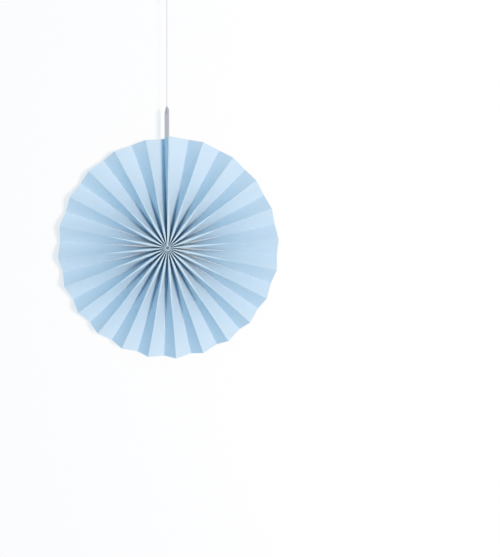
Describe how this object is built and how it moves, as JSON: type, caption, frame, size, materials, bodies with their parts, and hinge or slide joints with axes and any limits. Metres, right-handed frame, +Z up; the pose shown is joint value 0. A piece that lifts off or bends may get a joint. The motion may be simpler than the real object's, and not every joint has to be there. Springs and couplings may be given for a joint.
{
  "type": "paper fan rosette",
  "caption": "Hanging decoration: a strip of pale blue paper pleated into a flat disc, closed by a card fin whose punched tab hangs from a thread.",
  "frame": {"origin": "centre of the loop at the top of the hanging thread, where a hook or pin holds the rosette", "axes": "+Z up along the thread and the fin, -Y towards the front of the disc, +X to the right seen from the front; the disc lies in the XZ plane"},
  "size_m": [0.2995, 0.0262, 0.5018],
  "materials": {
    "paper": "uncoated pale blue craft paper, matt",
    "card": "off-white board, matt",
    "tape": "thin white double-sided tape",
    "thread": "pale twisted thread"
  },
  "bodies": {
    "root": {"pleated_paper": "paper", "right_card_strip": "card", "left_card_strip": "card", "adhesive_tape": "tape", "binding_thread": "thread", "tab_loop": "thread", "hanging_thread": "thread", "hang_loop": "thread"}
  },
  "joints": []
}
